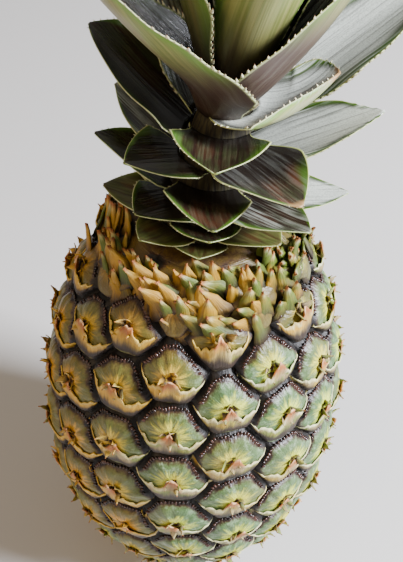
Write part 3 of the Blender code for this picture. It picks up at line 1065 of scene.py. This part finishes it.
    def build_beads(self, repeater: Repeater, finish: bpy.types.Material) -> bpy.types.Object:
        """Rows of small glossy beads along the upper crease of every eye.

        Args:
            repeater: sets the beads on points.
            finish: the beads' material.

        Returns:
            All the beads as one piece.
        """
        spots: List[np.ndarray] = []
        aims: List[Tuple[float, float, float]] = []
        for eye in self.eyes:
            if not self.bead_limits[0] <= eye.height <= self.bead_limits[1]:
                continue
            angles = np.radians(np.arange(14.0, 167.0, 6.6))
            reach = np.linspace(4.0, 17.0, 60) * MM
            aa, rr = np.meshgrid(angles, reach, indexing="ij")
            spot = eye.centre + (rr * np.cos(aa))[..., None] * eye.across
            flat = (spot + (rr * np.sin(aa))[..., None] * eye.up).reshape(-1, 3)
            turn = np.arctan2(flat[:, 0], -flat[:, 1])
            height = np.clip(flat[:, 2], 1.0 * MM, self.neck_height)
            skin = self.skin(turn, height, self.mean_radius(height))
            edge = skin["place"][:, 2].reshape(aa.shape)
            near = [other for other in self.eyes if abs(other.height - eye.height) < 30.0 * MM]
            reaches = np.stack([np.linalg.norm(skin["points"] - other.centre, axis=1) for other in near])
            own_reach = np.linalg.norm(skin["points"] - eye.centre, axis=1).reshape(aa.shape)
            mine = own_reach <= np.min(reaches, axis=0).reshape(aa.shape) + 0.01 * MM
            for row in range(len(angles)):
                inside = np.where(mine[row] & (edge[row] > 2.3))[0]
                if len(inside):
                    pick = row * len(reach) + inside[-1]
                    lift = np.array([-0.05 * MM])
                    spots.append(self.surface(turn[pick:pick + 1], height[pick:pick + 1], lift)[0])
                    ray = Vector(eye.across) * math.cos(angles[row]) + Vector(eye.up) * math.sin(angles[row])
                    aims.append(frame_turn(ray.cross(Vector(eye.out)), ray))
        stretch = np.tile((0.85, 1.9, 0.9), (len(spots), 1))
        mesh = seed_mesh("crease_beads", spots, facing=aims, stretch=stretch)
        bead = bpy.data.meshes.new("bead_model")
        bm = bmesh.new()
        bmesh.ops.create_icosphere(bm, subdivisions=1, radius=self.bead_radius)
        bm.to_mesh(bead)
        bm.free()
        model = stand("bead_model", bead)
        obj = repeater.run("crease_beads", mesh, model, finish, Smallest=0.8, Largest=1.15, Seed=3)
        bpy.data.objects.remove(model)
        return obj

    def flap_model(self) -> bpy.types.Object:
        """A narrow curved papery flap, one unit long, that stands on the shoulder of the fruit.

        Returns:
            The flap.
        """
        wide, tall = 5, 6
        u, v = np.meshgrid(np.linspace(-1.0, 1.0, wide), np.linspace(0.0, 1.0, tall))
        half = 0.34 * (1.0 - v) ** 0.85 + 0.05 * np.sin(v * 13.0) * (1.0 - v) + 0.006
        x = u * half + 0.05 * np.sin(v * 4.0)
        y = v - 0.06 * v ** 3
        z = 0.04 + 0.14 * v ** 2.0 - 0.13 * np.abs(u) ** 1.4 * (1.0 - 0.4 * v)
        z = z + 0.02 * np.sin(u * 9.0) * (1.0 - v)
        mesh = grid_mesh("flap_model", np.stack([x, y, z], axis=-1))
        place = [u.ravel() * 0.5, 0.26 + 0.66 * v.ravel(), 0.80 * v.ravel() ** 6.0]
        put(mesh, "bract_place", np.stack(place, axis=1))
        return self.thicken(stand("flap_model", mesh), 0.045)

    def withered_seeds(self) -> bpy.types.Mesh:
        """Where the dry points of the withered flowers stand: a few at the heart of every eye.

        Returns:
            Points with their facing, stretch and tone.
        """
        chance = random.Random(33)
        spots, facing, stretch, tone = [], [], [], []
        for eye in self.eyes:
            if not self.flower_limits[0] <= eye.height <= self.flower_limits[1]:
                continue
            start = chance.uniform(0.0, TAU)
            for part in range(4):
                angle = start + TAU * part / 4.0 + chance.uniform(-0.4, 0.4)
                ray = Vector(eye.across) * math.cos(angle) + Vector(eye.up) * math.sin(angle)
                spot = eye.centre + np.array(ray) * 1.3 * MM
                turn = math.atan2(spot[0], -spot[1])
                place = self.surface(np.array([turn]), np.array([spot[2]]), np.array([0.1 * MM]))[0]
                lift = chance.uniform(0.35, 1.0)
                up = ray * math.cos(lift) + Vector(eye.out) * math.sin(lift)
                across = ray.cross(Vector(eye.out)).normalized()
                spots.append(tuple(place))
                facing.append(frame_turn(across, up))
                size = 4.2 * MM * chance.uniform(0.7, 1.3)
                stretch.append((size * 1.2, size, size))
                ripe = float(self.ripeness(place[None])[0])
                tone.append((chance.random(), min(max(ripe - 0.2, 0.0), 1.0), 0.0))
        return seed_mesh("withered_flowers", spots, facing=facing, stretch=stretch, eye_tone=tone)

    def flap_seeds(self) -> bpy.types.Mesh:
        """Where the shoulder's flaps stand: close rows that climb to the crown's seat.

        Returns:
            Points with their facing, stretch and tone.
        """
        chance = random.Random(21)
        spots, facing, stretch, tone = [], [], [], []
        rows = [(152.5 + 16.0 * (step / 13.0) ** 0.8, 24 - step // 3, 10.5 + 2.0 * smooth(step / 8.0))
                for step in range(14)]
        for row, (height_mm, count, size_mm) in enumerate(rows):
            for step in range(count):
                turn = TAU * (step + 0.5 * (row % 2)) / count + chance.uniform(-0.13, 0.13)
                turn = (turn + math.pi) % TAU - math.pi
                height = (height_mm + chance.uniform(-1.5, 1.5)) * MM
                kept = 0.75 * self.flap_share(turn) + smooth((height_mm - 154.0) / 7.0)
                if chance.random() > kept:
                    continue
                height = min(height, self.neck_height)
                eye = self.make_eye(turn, height, row)
                place = self.surface(np.array([turn]), np.array([height]), np.array([-1.2 * MM]))[0]
                tip_up = chance.uniform(0.02, 0.42) + 0.10 * smooth((height_mm - 158.0) / 12.0)
                up = Vector(eye.up) * math.cos(tip_up) + Vector(eye.out) * math.sin(tip_up)
                up = up + Vector(eye.across) * chance.uniform(-0.95, 0.15)
                up.normalize()
                across = Vector(eye.across) + Vector(eye.out) * chance.uniform(-0.35, 0.35)
                across = (across - up * across.dot(up)).normalized()
                spots.append(tuple(place))
                facing.append(frame_turn(across, up))
                size = size_mm * MM * chance.uniform(0.85, 1.4)
                size = size * (1.0 - 0.25 * smooth((height_mm - 163.0) / 9.0))
                stretch.append((size * chance.uniform(0.85, 1.35), size, size))
                ripe = float(self.ripeness(place[None])[0]) + chance.uniform(-0.85, 0.15)
                tone.append((chance.random(), min(max(ripe, 0.0), 1.0), 1.0))
        return seed_mesh("shoulder_bracts", spots, facing=facing, stretch=stretch, eye_tone=tone)

    def build(self, points_repeater: Repeater) -> None:
        """Build and hand over everything that belongs to the fruit.

        Args:
            points_repeater: sets models on points.
        """
        self.grow_eyes()
        deliver(self.build_rind(RindFinish().build()), "rind", "fruit_body")
        bract = BractFinish().build()
        deliver(self.build_bracts(bract), "rind")
        deliver(self.build_beads(points_repeater, CreaseBeadFinish().build()), "rind")
        model = self.flap_model()
        pieces = {"shoulder_bracts": self.flap_seeds(), "withered_flowers": self.withered_seeds()}
        for name, seeds in pieces.items():
            deliver(points_repeater.run(name, seeds, model, bract, Smallest=0.9, Largest=1.1, Seed=5), "rind")
        bpy.data.objects.remove(model)


# ---------------------------------------------------------------------------------------------
# Crown
# ---------------------------------------------------------------------------------------------
@dataclass(frozen=True)
class LeafStage:
    """What a leaf is like at one place up the stem; millimetres and degrees."""

    order: int
    base_height: float
    length: float
    width: float
    base_rise: float
    tip_rise: float
    trough: float


@dataclass(frozen=True)
class LeafCharacter:
    """How one leaf departs from the rule, and its looks."""

    turn: float = 0.0
    rise: float = 0.0
    bend: float = 0.0
    upright: float = 0.0
    longer: float = 1.0
    wider: float = 1.0
    swing: float = 0.0
    clasp: float = 0.0
    bluntness: float = 2.3
    sheath: float = 0.4
    dry: float = 0.0
    # Share of scurf on the leaf, with a painted sheen where it is high
    scurf_and_sheen: float = 0.35
    warm: float = 0.3
    lift_mm: float = 0.0
    ragged: float = 0.0
    thorny: float = 1.0


# A hair short of the tip, so that a step up the midrib always has a next one
ALMOST_TIP = 0.9999

STAGES = (
    LeafStage(0, 177.6, 9.5, 18.0, 14.0, 24.0, 0.10),
    LeafStage(8, 184.0, 22.0, 24.0, 6.0, 14.0, 0.14),
    LeafStage(16, 197.0, 31.0, 28.0, 12.0, 18.0, 0.20),
    LeafStage(22, 211.0, 44.0, 31.0, 28.0, 36.0, 0.26),
    LeafStage(26, 220.0, 66.0, 33.0, 42.0, 44.0, 0.28),
    LeafStage(30, 229.0, 100.0, 34.0, 64.0, 56.0, 0.30),
    LeafStage(34, 237.0, 92.0, 27.0, 76.0, 70.0, 0.30),
    LeafStage(38, 244.0, 72.0, 17.0, 82.0, 78.0, 0.26),
    LeafStage(43, 251.0, 44.0, 8.0, 87.0, 86.0, 0.20),
)

CHARACTERS = {
    8: LeafCharacter(turn=4.0, rise=16.0, longer=0.72, wider=0.95, scurf_and_sheen=0.1),
    10: LeafCharacter(turn=-4.0, rise=-5.0, longer=1.30, wider=0.95, scurf_and_sheen=0.9),
    11: LeafCharacter(turn=-3.0, rise=8.0, longer=0.72, wider=1.10, scurf_and_sheen=0.1),
    13: LeafCharacter(turn=4.0, rise=-4.0, longer=1.05, wider=0.95, scurf_and_sheen=0.5),
    14: LeafCharacter(turn=2.0, rise=18.0, longer=1.02, wider=0.95, scurf_and_sheen=0.1),
    16: LeafCharacter(turn=-7.0, rise=2.0, longer=0.92, wider=1.05, swing=0.12, warm=0.6, scurf_and_sheen=0.1),
    17: LeafCharacter(turn=16.0, rise=8.0, longer=0.95, wider=0.95, scurf_and_sheen=0.6),
    18: LeafCharacter(turn=6.0, rise=7.0, longer=1.18, bluntness=3.0, scurf_and_sheen=1.0, ragged=1.0),
    19: LeafCharacter(turn=-15.0, rise=-4.0, longer=0.62, wider=1.10, scurf_and_sheen=0.1),
    21: LeafCharacter(turn=-6.0, rise=-24.0, longer=0.74, wider=1.08, dry=0.6, warm=1.0, scurf_and_sheen=0.2),
    22: LeafCharacter(turn=-16.0, rise=4.0, longer=1.05, wider=1.10, bluntness=5.0, dry=0.2, scurf_and_sheen=0.1),
    23: LeafCharacter(turn=-7.0, rise=-5.0, longer=1.60, wider=1.08, clasp=-0.35, bluntness=2.6, scurf_and_sheen=0.9),
    24: LeafCharacter(turn=-8.0, rise=-20.0, longer=0.52, wider=1.02, swing=0.05, scurf_and_sheen=0.1),
    25: LeafCharacter(turn=-12.0, longer=0.82, clasp=-0.12),
    26: LeafCharacter(turn=-22.0, rise=-50.0, bend=68.0, longer=0.33, wider=1.05, swing=0.80, clasp=0.70,
                      bluntness=6.0, sheath=0.15, dry=0.6, scurf_and_sheen=1.0, ragged=0.6, lift_mm=2.6,
                      thorny=1.9),
    27: LeafCharacter(turn=-14.2, rise=-6.5, bend=10.0, upright=25.0, longer=1.03, wider=1.32, clasp=0.42,
                      sheath=0.16, warm=0.6),
    28: LeafCharacter(rise=2.2, upright=2.0, clasp=-0.62),
    29: LeafCharacter(turn=39.0, rise=-7.0, bend=32.0, upright=8.0, longer=0.66, wider=1.30, swing=0.16,
                      clasp=0.36, bluntness=2.0, sheath=0.14, warm=1.0),
    30: LeafCharacter(rise=4.0),
    31: LeafCharacter(rise=6.0),
    32: LeafCharacter(turn=5.0, rise=5.0, wider=1.02, warm=0.15),
    33: LeafCharacter(rise=4.0),
    35: LeafCharacter(rise=2.0, clasp=-0.08, warm=0.8),
}


@dataclass
class Leaf:
    """One crown leaf: where it leaves the stem, how it rises, and how wide and deep it is."""

    order: int
    stem: Sequence[Tuple[float, float]]
    seat_height: float
    turn_step: float = math.radians(-135.0)
    plain_thickness: float = 1.1 * MM
    joint_gap: float = 0.3 * MM
    midrib_steps: int = 40
    rows: int = 36
    columns: int = 15

    def __post_init__(self) -> None:
        """Work the leaf's sizes out from its place up the stem."""
        stages = [astuple(stage) for stage in STAGES]
        order = self.order
        own = self.character = CHARACTERS.get(order, LeafCharacter())
        chance = random.Random(100 + order)
        self.turn = order * self.turn_step + math.radians(own.turn + chance.uniform(-3.0, 3.0))
        self.base_height = between(stages, order, 1) * MM
        self.length = between(stages, order, 2) * MM * own.longer
        self.half_width = between(stages, order, 3) * MM * own.wider / 2.0
        self.base_rise = math.radians(between(stages, order, 4) + own.rise)
        tip_rise = between(stages, order, 5) + own.rise + own.bend + chance.uniform(-4.0, 4.0)
        self.tip_rise = math.radians(tip_rise)
        self.upright = math.radians(own.upright)
        self.trough = between(stages, order, 6)
        self.swing = own.swing + chance.uniform(-0.05, 0.05)
        self.thickness = self.plain_thickness * (1.0 - 0.35 * smooth((order - 32) / 8))
        self.clasp = own.clasp + 0.80 + 0.28 * smooth((order - 18) / 8) - 0.18 * smooth((order - 33) / 6)
        radius = between(self.stem, self.base_height / MM, 1) * MM
        self.base_radius = radius + self.joint_gap + 0.7 * self.thickness
        self.midrib = self.trace()

    def rise_at(self, along: float) -> float:
        """How steeply the midrib rises at a place along it, in radians."""
        return (self.base_rise + (self.tip_rise - self.base_rise) * along
                + self.upright * (1.0 - smooth(along / 0.3)))

    def trace(self) -> List[Tuple[float, float]]:
        """Follow the midrib in small even steps.

        Returns:
            Radius and height at each step.
        """
        steps = self.midrib_steps
        radius, height = self.base_radius, self.base_height
        points = [(radius, height)]
        for step in range(steps):
            rise = self.rise_at((step + 0.5) / steps)
            radius += math.cos(rise) * self.length / steps
            height += math.sin(rise) * self.length / steps
            points.append((radius, height))
        return points

    def lean(self, x: float, height: float) -> float:
        """Shift a point sideways with its height above the crown's seat."""
        above = max(0.0, height - self.seat_height)
        return x + 0.15 * (math.hypot(above, 15.0 * MM) - 15.0 * MM)

    def half_at(self, along: float, radius: float) -> float:
        """Half the leaf's width at a place along it.

        Args:
            along: 0 at the stem to 1 at the tip.
            radius: the midrib's distance from the stem's axis there.

        Returns:
            The half width.
        """
        base_half = min(self.base_radius * self.clasp, self.half_width)
        half = base_half + (self.half_width - base_half) * smooth(along / self.character.sheath)
        half = min(half, self.clasp * radius) * (1.0 - along ** self.character.bluntness) + 0.5 * MM
        torn = self.character.ragged * smooth((along - 0.72) / 0.2) * abs(math.sin(along * 47.0 + self.order))
        return half * (1.0 - 0.22 * torn)

    def point(self, along: float, across: float, lift: float = 0.0) -> Tuple[float, float, float]:
        """A point of the leaf.

        Args:
            along: 0 at the stem to 1 at the tip.
            across: -1 to 1 from edge to edge.
            lift: distance from the middle surface toward the upper face.

        Returns:
            The point's coordinates.
        """
        place = min(along, ALMOST_TIP) * self.midrib_steps
        low = int(place)
        share = place - low
        radius = self.midrib[low][0] * (1.0 - share) + self.midrib[low + 1][0] * share
        height = self.midrib[low][1] * (1.0 - share) + self.midrib[low + 1][1] * share
        rise = self.rise_at(along)
        half = self.half_at(along, radius)
        offset = across * half
        wrap = max(1.0 - smooth(along / 0.45), math.sin(max(rise, 0.0))) / radius
        if wrap > 1.0:
            bent_in = (1.0 - math.cos(offset * wrap)) / wrap
            sideways = math.sin(offset * wrap) / wrap
        else:
            bent_in, sideways = 0.0, offset
        height += self.character.lift_mm * MM
        raised = self.trough * half * abs(across) ** 1.6 * smooth(along / 0.4) + lift
        radial = radius - bent_in - raised * math.sin(rise)
        height += raised * math.cos(rise)
        sideways += self.swing * self.length * along ** 2
        x = radial * math.sin(self.turn) + sideways * math.cos(self.turn)
        y = -radial * math.cos(self.turn) + sideways * math.sin(self.turn)
        return (self.lean(x, height), y, height)

    def wave(self, along: float, across: float) -> float:
        """Small rise and fall of the margin, none in the middle or at the base."""
        ripple = 0.35 * MM * math.sin(along * self.length / (3.4 * MM) + self.order) * abs(across) ** 3
        return ripple * smooth(along / 0.25)

    def build(self, upper: bpy.types.Material, under: bpy.types.Material) -> bpy.types.Object:
        """The leaf as a thin closed blade, dark above and pale below.

        Args:
            upper: material of the upper side.
            under: material of the under side and the rim.

        Returns:
            The blade.
        """
        along = np.linspace(0.0, 1.0, self.rows) ** 0.85
        across = np.sin(np.linspace(1.0, -1.0, self.columns) * math.pi / 2.0)
        points = np.array([[self.point(a, c, self.wave(a, c)) for c in across] for a in along])
        name = f"crown_leaf_{self.order + 1:02d}_blade"
        mesh = grid_mesh(name, points)
        cc, aa = np.meshgrid(across, along)
        radii = [self.midrib[int(min(a, ALMOST_TIP) * self.midrib_steps)][0] for a in along]
        half = np.array([[self.half_at(a, radius) / MM] * len(across) for a, radius in zip(along, radii)])
        put(mesh, "leaf_place", np.stack([cc.ravel(), aa.ravel(), half.ravel()], axis=1))
        tone = np.array([self.character.dry, self.character.scurf_and_sheen, self.character.warm])
        put(mesh, "leaf_tone", np.tile(tone, (cc.size, 1)))
        obj = stand(name, mesh)
        obj.data.materials.append(upper)
        obj.data.materials.append(under)
        group = obj.vertex_groups.new(name="Body")
        for index, (c, a) in enumerate(zip(cc.ravel(), aa.ravel())):
            group.add([index], float((1.0 - 0.75 * abs(c) ** 3) * (1.0 - 0.5 * a ** 2)), "REPLACE")
        body = obj.modifiers.new("Thickness", "SOLIDIFY")
        body.thickness = self.thickness * 1.25
        body.offset = 0.0
        body.vertex_group = "Body"
        body.material_offset = 1
        body.material_offset_rim = 1
        bake_modifiers(obj)
        obj.vertex_groups.clear()
        return obj

    def margins(self) -> List[List[Tuple[Vector, Vector, float]]]:
        """Follow both margins for the spines.

        Returns:
            Two lines of place, outward direction and spine size.
        """
        lines = []
        for side in (-1.0, 1.0):
            line = []
            steps = max(6, int(self.length / (3.0 * MM)))
            for step in range(steps + 1):
                along = 0.10 + 0.88 * step / steps
                here = Vector(self.point(along, side, self.wave(along, side)))
                inner = Vector(self.point(along, side * 0.7, self.wave(along, side * 0.7)))
                ahead = Vector(self.point(min(along + 0.03, 0.999), side, self.wave(along, side)))
                out = (here - inner).normalized() + 0.75 * (ahead - here).normalized()
                size = 0.50 + 0.75 * smooth((self.length - 30.0 * MM) / (40.0 * MM))
                size *= (1.0 - 0.45 * along) * self.character.thorny
                line.append((here, out.normalized(), size))
            lines.append(line)
        return lines


# The foot colours are painted shade where the leaves crowd the stem
UPPER_SIDE = LeafFinish(
    "upper_leaf_cuticle", middle="#241914", between_veins="#2b3018", margin="#3f5f1c", edge="#a3ac66",
    scurf_and_sheen_colour="#d2d8ce", scurf_and_sheen_most=0.95, roughness=0.27, foot="#17100d", warm="#4a2a1a")
UNDER_SIDE = LeafFinish(
    "scurfy_leaf_underside", middle="#8f9254", between_veins="#6f7a38", margin="#6a8f30", edge="#b9bf8c",
    scurf_and_sheen_colour="#b4b8a4", scurf_and_sheen_most=0.40, roughness=0.42, foot="#3f2d26", warm="#6f4a2e")
NECK_SIDE = LeafFinish(
    "neck_leaf_cuticle", middle="#3a3318", between_veins="#4a5222", margin="#5d6a2a", edge="#a39a58",
    scurf_and_sheen_colour="#a8a890", scurf_and_sheen_most=0.3, roughness=0.45, foot="#2c2412")


@dataclass
class Crown:
    """The crown: stem, leaves and the spines on their margins."""

    stem_sections: Tuple[Tuple[float, float], ...] = (
        (176.3, 16.2), (183.0, 14.6), (197.0, 11.8), (212.0, 9.6), (226.0, 7.6), (240.0, 4.6), (252.0, 1.6))
    seat_height: float = 176.3 * MM
    leaf_count: int = 44
    neck_leaves: int = 8
    spine_spacing: float = 2.3 * MM
    spine_length: float = 1.7 * MM
    foot_depth: float = 0.12

    def spine_model(self) -> bpy.types.Object:
        """A flattened hooked spine standing on its foot.

        Returns:
            The spine.
        """
        mesh = bpy.data.meshes.new("spine_model")
        bm = bmesh.new()
        bmesh.ops.create_cone(bm, segments=6, radius1=0.24, radius2=0.02, depth=1.0, cap_ends=True)
        shaft = [edge for edge in bm.edges if abs(edge.verts[0].co.z - edge.verts[1].co.z) > 0.5]
        bmesh.ops.subdivide_edges(bm, edges=shaft, cuts=2)
        for vert in bm.verts:
            rise = vert.co.z + 0.5
            hooked = Vector((vert.co.x * 1.5 + 0.35 * rise ** 2, vert.co.y * 0.7, rise - self.foot_depth))
            vert.co = hooked * self.spine_length
        bm.to_mesh(mesh)
        bm.free()
        rise = np.array([vert.co.z / self.spine_length + self.foot_depth for vert in mesh.vertices])
        put(mesh, "thorn_place", np.stack([rise * 0.0, rise * 0.0, rise], axis=1))
        return stand("spine_model", mesh)

    def spine_seeds(self, leaves: Sequence[Leaf]) -> bpy.types.Mesh:
        """The margins of all the leaves as loose lines.

        Args:
            leaves: the leaves.

        Returns:
            Lines with their facing and stretch.
        """
        spots, edges, facing, stretch = [], [], [], []
        for leaf in leaves:
            for line in leaf.margins():
                for step, (here, out, size) in enumerate(line):
                    if step:
                        edges.append((len(spots) - 1, len(spots)))
                    spots.append(tuple(here))
                    facing.append(tuple(out))
                    stretch.append((size, size, size))
        return seed_mesh("crown_spines", spots, edges, facing=facing, stretch=stretch)

    def build(self, margin_repeater: Repeater) -> None:
        """Build and hand over the leaves, their spines and the stem's finish.

        Args:
            margin_repeater: sets models along margins.
        """
        upper = UPPER_SIDE.build()
        under = UNDER_SIDE.build()
        neck_upper = NECK_SIDE.build()
        leaves = [Leaf(order, self.stem_sections, self.seat_height) for order in range(self.leaf_count)]
        for leaf in leaves:
            neck = leaf.order < self.neck_leaves
            obj = leaf.build(neck_upper if neck else upper, under)
            deliver(obj, "neck_leaf" if neck else "leaf", f"crown_leaf_{leaf.order + 1:02d}")
        model = self.spine_model()
        spines = margin_repeater.run("crown_spines", self.spine_seeds(leaves), model, ThornFinish().build(),
                                     Spacing=self.spine_spacing, Smallest=0.45, Largest=1.35, Seed=11)
        bpy.data.objects.remove(model)
        deliver(spines, "leaf")
        stem = bpy.data.objects["crown_stem"]
        stem.data.materials.clear()
        stem.data.materials.append(StemFinish().build())


# ---------------------------------------------------------------------------------------------
# Studio
# ---------------------------------------------------------------------------------------------
@dataclass(frozen=True)
class Lamp:
    """A square soft lamp."""

    name: str
    place: Tuple[float, float, float]
    size: float
    power: float
    colour: str

    def build(self, aim: Tuple[float, float, float]) -> None:
        """Hang the lamp so that it looks at a point.

        Args:
            aim: the point.
        """
        data = bpy.data.lights.new(self.name, "AREA")
        data.size = self.size
        data.energy = self.power
        data.color = srgb(self.colour)[:3]
        obj = stand(self.name, data)
        obj.location = self.place
        obj.rotation_euler = (Vector(aim) - Vector(self.place)).to_track_quat("-Z", "Y").to_euler()


@dataclass
class Studio:
    """Pale floor, soft lights and the camera."""

    eye_place: Tuple[float, float, float] = (0.0, -0.2555, 0.39905)
    look_down: float = math.radians(44.82)
    heading: float = math.radians(-0.21)
    roll: float = math.radians(3.94)
    lens_mm: float = 64.14
    floor_reach: float = 15.0
    floor_colour: str = "#c9c7c4"
    sky_colour: str = "#e9e7e4"
    sky_strength: float = 0.36
    lamp_aim: Tuple[float, float, float] = (0.0, 0.0, 0.14)
    lamps: Tuple[Lamp, ...] = (Lamp("window", (0.85, -0.20, 0.78), 0.32, 56.0, "#f3f6ff"),
                               Lamp("fill", (-0.8, -0.6, 0.8), 0.8, 6.0, "#ffd9a8"))

    def camera(self) -> None:
        """Place the camera."""
        data = bpy.data.cameras.new("view")
        data.lens = self.lens_mm
        data.sensor_width = 36.0
        data.clip_start = 0.01
        obj = stand("view", data)
        turn = Euler((math.pi / 2.0 - self.look_down, 0.0, self.heading)).to_matrix()
        turn = turn @ Euler((0.0, 0.0, self.roll)).to_matrix()
        obj.rotation_euler = turn.to_euler()
        obj.location = self.eye_place
        bpy.context.scene.camera = obj

    def floor(self) -> None:
        """Lay a plain pale floor."""
        mesh = bpy.data.meshes.new("floor")
        bm = bmesh.new()
        bmesh.ops.create_grid(bm, x_segments=2, y_segments=2, size=self.floor_reach)
        bm.to_mesh(mesh)
        bm.free()
        obj = stand("floor", mesh)
        # Matt painted floor: takes a soft shadow and sends pale light up under the fruit
        material, _, shader = new_material("plain_studio_floor")
        shader.inputs["Base Color"].default_value = srgb(self.floor_colour)
        shader.inputs["Roughness"].default_value = 0.8
        mesh.materials.append(material)

    def build(self) -> None:
        """Set the whole studio up."""
        self.camera()
        self.floor()
        for lamp in self.lamps:
            lamp.build(self.lamp_aim)
        world = bpy.data.worlds.new("studio")
        world.use_nodes = True
        sky = world.node_tree.nodes["Background"]
        sky.inputs[0].default_value = srgb(self.sky_colour)
        sky.inputs[1].default_value = self.sky_strength
        bpy.context.scene.world = world


def main() -> None:
    """Build the studio, the fruit and the crown."""
    logging.basicConfig(level=logging.INFO, format="%(name)s %(message)s")
    Studio().build()
    on_points = Repeater("set_on_points", RepeatOn.POINTS)
    on_margins = Repeater("set_on_margins", RepeatOn.MARGINS)
    Fruit().build(on_points)
    Crown().build(on_margins)


if __name__ == "__main__":
    main()
